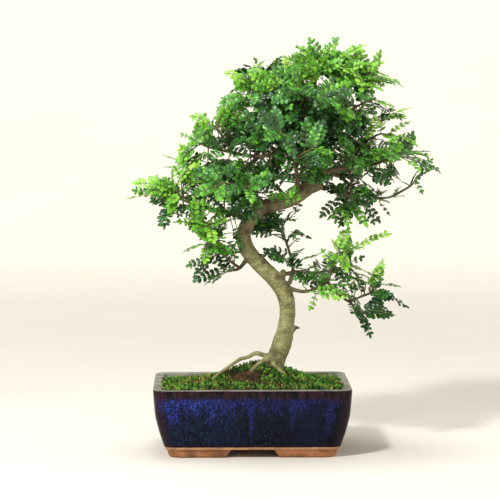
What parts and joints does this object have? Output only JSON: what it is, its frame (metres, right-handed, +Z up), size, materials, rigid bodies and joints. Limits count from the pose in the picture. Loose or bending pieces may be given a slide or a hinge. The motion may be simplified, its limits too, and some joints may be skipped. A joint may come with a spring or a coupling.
{
  "type": "japanese pepper bonsai",
  "caption": "S-shaped bonsai tree with small compound leaves in a rectangular glazed pot with corner feet, standing on moss-covered soil.",
  "frame": {"origin": "middle of the whole's bounding box, at the height of the undersides of the pot's feet", "axes": "+X to the right and -Y towards the viewer, as the pot's front is seen; +Z up along the trunk"},
  "size_m": [0.3516, 0.2354, 0.459],
  "materials": {
    "glazed_clay": "dark blue and black drip glaze, unglazed feet",
    "screen_plastic": "matte black",
    "soil": "loose and granular",
    "moss": "soft, dense pile",
    "bark": "smooth olive bark",
    "leaf_dark": "glossy dark green leaf",
    "leaf_lime": "satin lime green new leaf"
  },
  "bodies": {
    "root": {"pot": "glazed_clay", "drain_screen_left": "screen_plastic", "drain_screen_right": "screen_plastic", "soil": "soil", "moss": "moss", "trunk": "bark", "spray_trunk_end": "leaf_dark", "spray_top_right_side_3": "leaf_lime", "spray_top_right_end": "leaf_lime", "spray_top_right_side_6": "leaf_lime", "spray_upper_right_side_7": "leaf_dark", "spray_upper_right_end": "leaf_lime", "spray_upper_right_side_10": "leaf_dark", "spray_upper_right_front_end": "leaf_dark", "spray_upper_right_front_side_12": "leaf_lime", "spray_right_up_end": "leaf_lime", "spray_right_up_side_14": "leaf_dark", "spray_right_end": "leaf_dark", "spray_right_side_16": "leaf_dark", "spray_right_front_end": "leaf_dark", "spray_right_long_end": "leaf_dark", "spray_right_long_side_19": "leaf_dark", "spray_right_long_side_20": "leaf_dark", "spray_right_down_end": "leaf_dark", "spray_right_down_side_22": "leaf_dark", "spray_top_left_end": "leaf_lime", "spray_top_left_side_24": "leaf_lime", "spray_top_left_side_25": "leaf_dark", "spray_top_left_back_end": "leaf_dark", "spray_front_top_end": "leaf_dark", "spray_front_top_side_29": "leaf_lime", "spray_upper_left_end": "leaf_dark", "spray_upper_left_side_31": "leaf_dark", "spray_upper_left_side_32": "leaf_dark", "spray_upper_left_up_end": "leaf_lime", "spray_upper_left_back_end": "leaf_dark", "spray_left_back_end": "leaf_lime", "spray_left_end": "leaf_lime", "spray_left_low_end": "leaf_lime", "spray_left_low_side_40": "leaf_lime", "spray_bend_left_up_end": "leaf_lime", "spray_bend_left_up_side_42": "leaf_dark", "spray_bend_left_end": "leaf_dark", "spray_front_left_end": "leaf_dark", "spray_front_left_side_45": "leaf_dark", "spray_front_end": "leaf_dark", "spray_front_side_47": "leaf_dark", "spray_back_end": "leaf_dark", "spray_back_right_end": "leaf_dark", "spray_back_left_end": "leaf_dark", "spray_back_low_right_end": "leaf_dark", "spray_back_low_left_end": "leaf_dark", "spray_bend_up_end": "leaf_dark", "spray_bend_up_side_54": "leaf_dark", "spray_bend_up_side_55": "leaf_dark", "spray_right_second_end": "leaf_dark", "spray_right_low_end": "leaf_lime", "spray_right_low_side_59": "leaf_lime", "spray_right_reach_end": "leaf_dark", "spray_right_drop_end": "leaf_dark"}
  },
  "joints": []
}
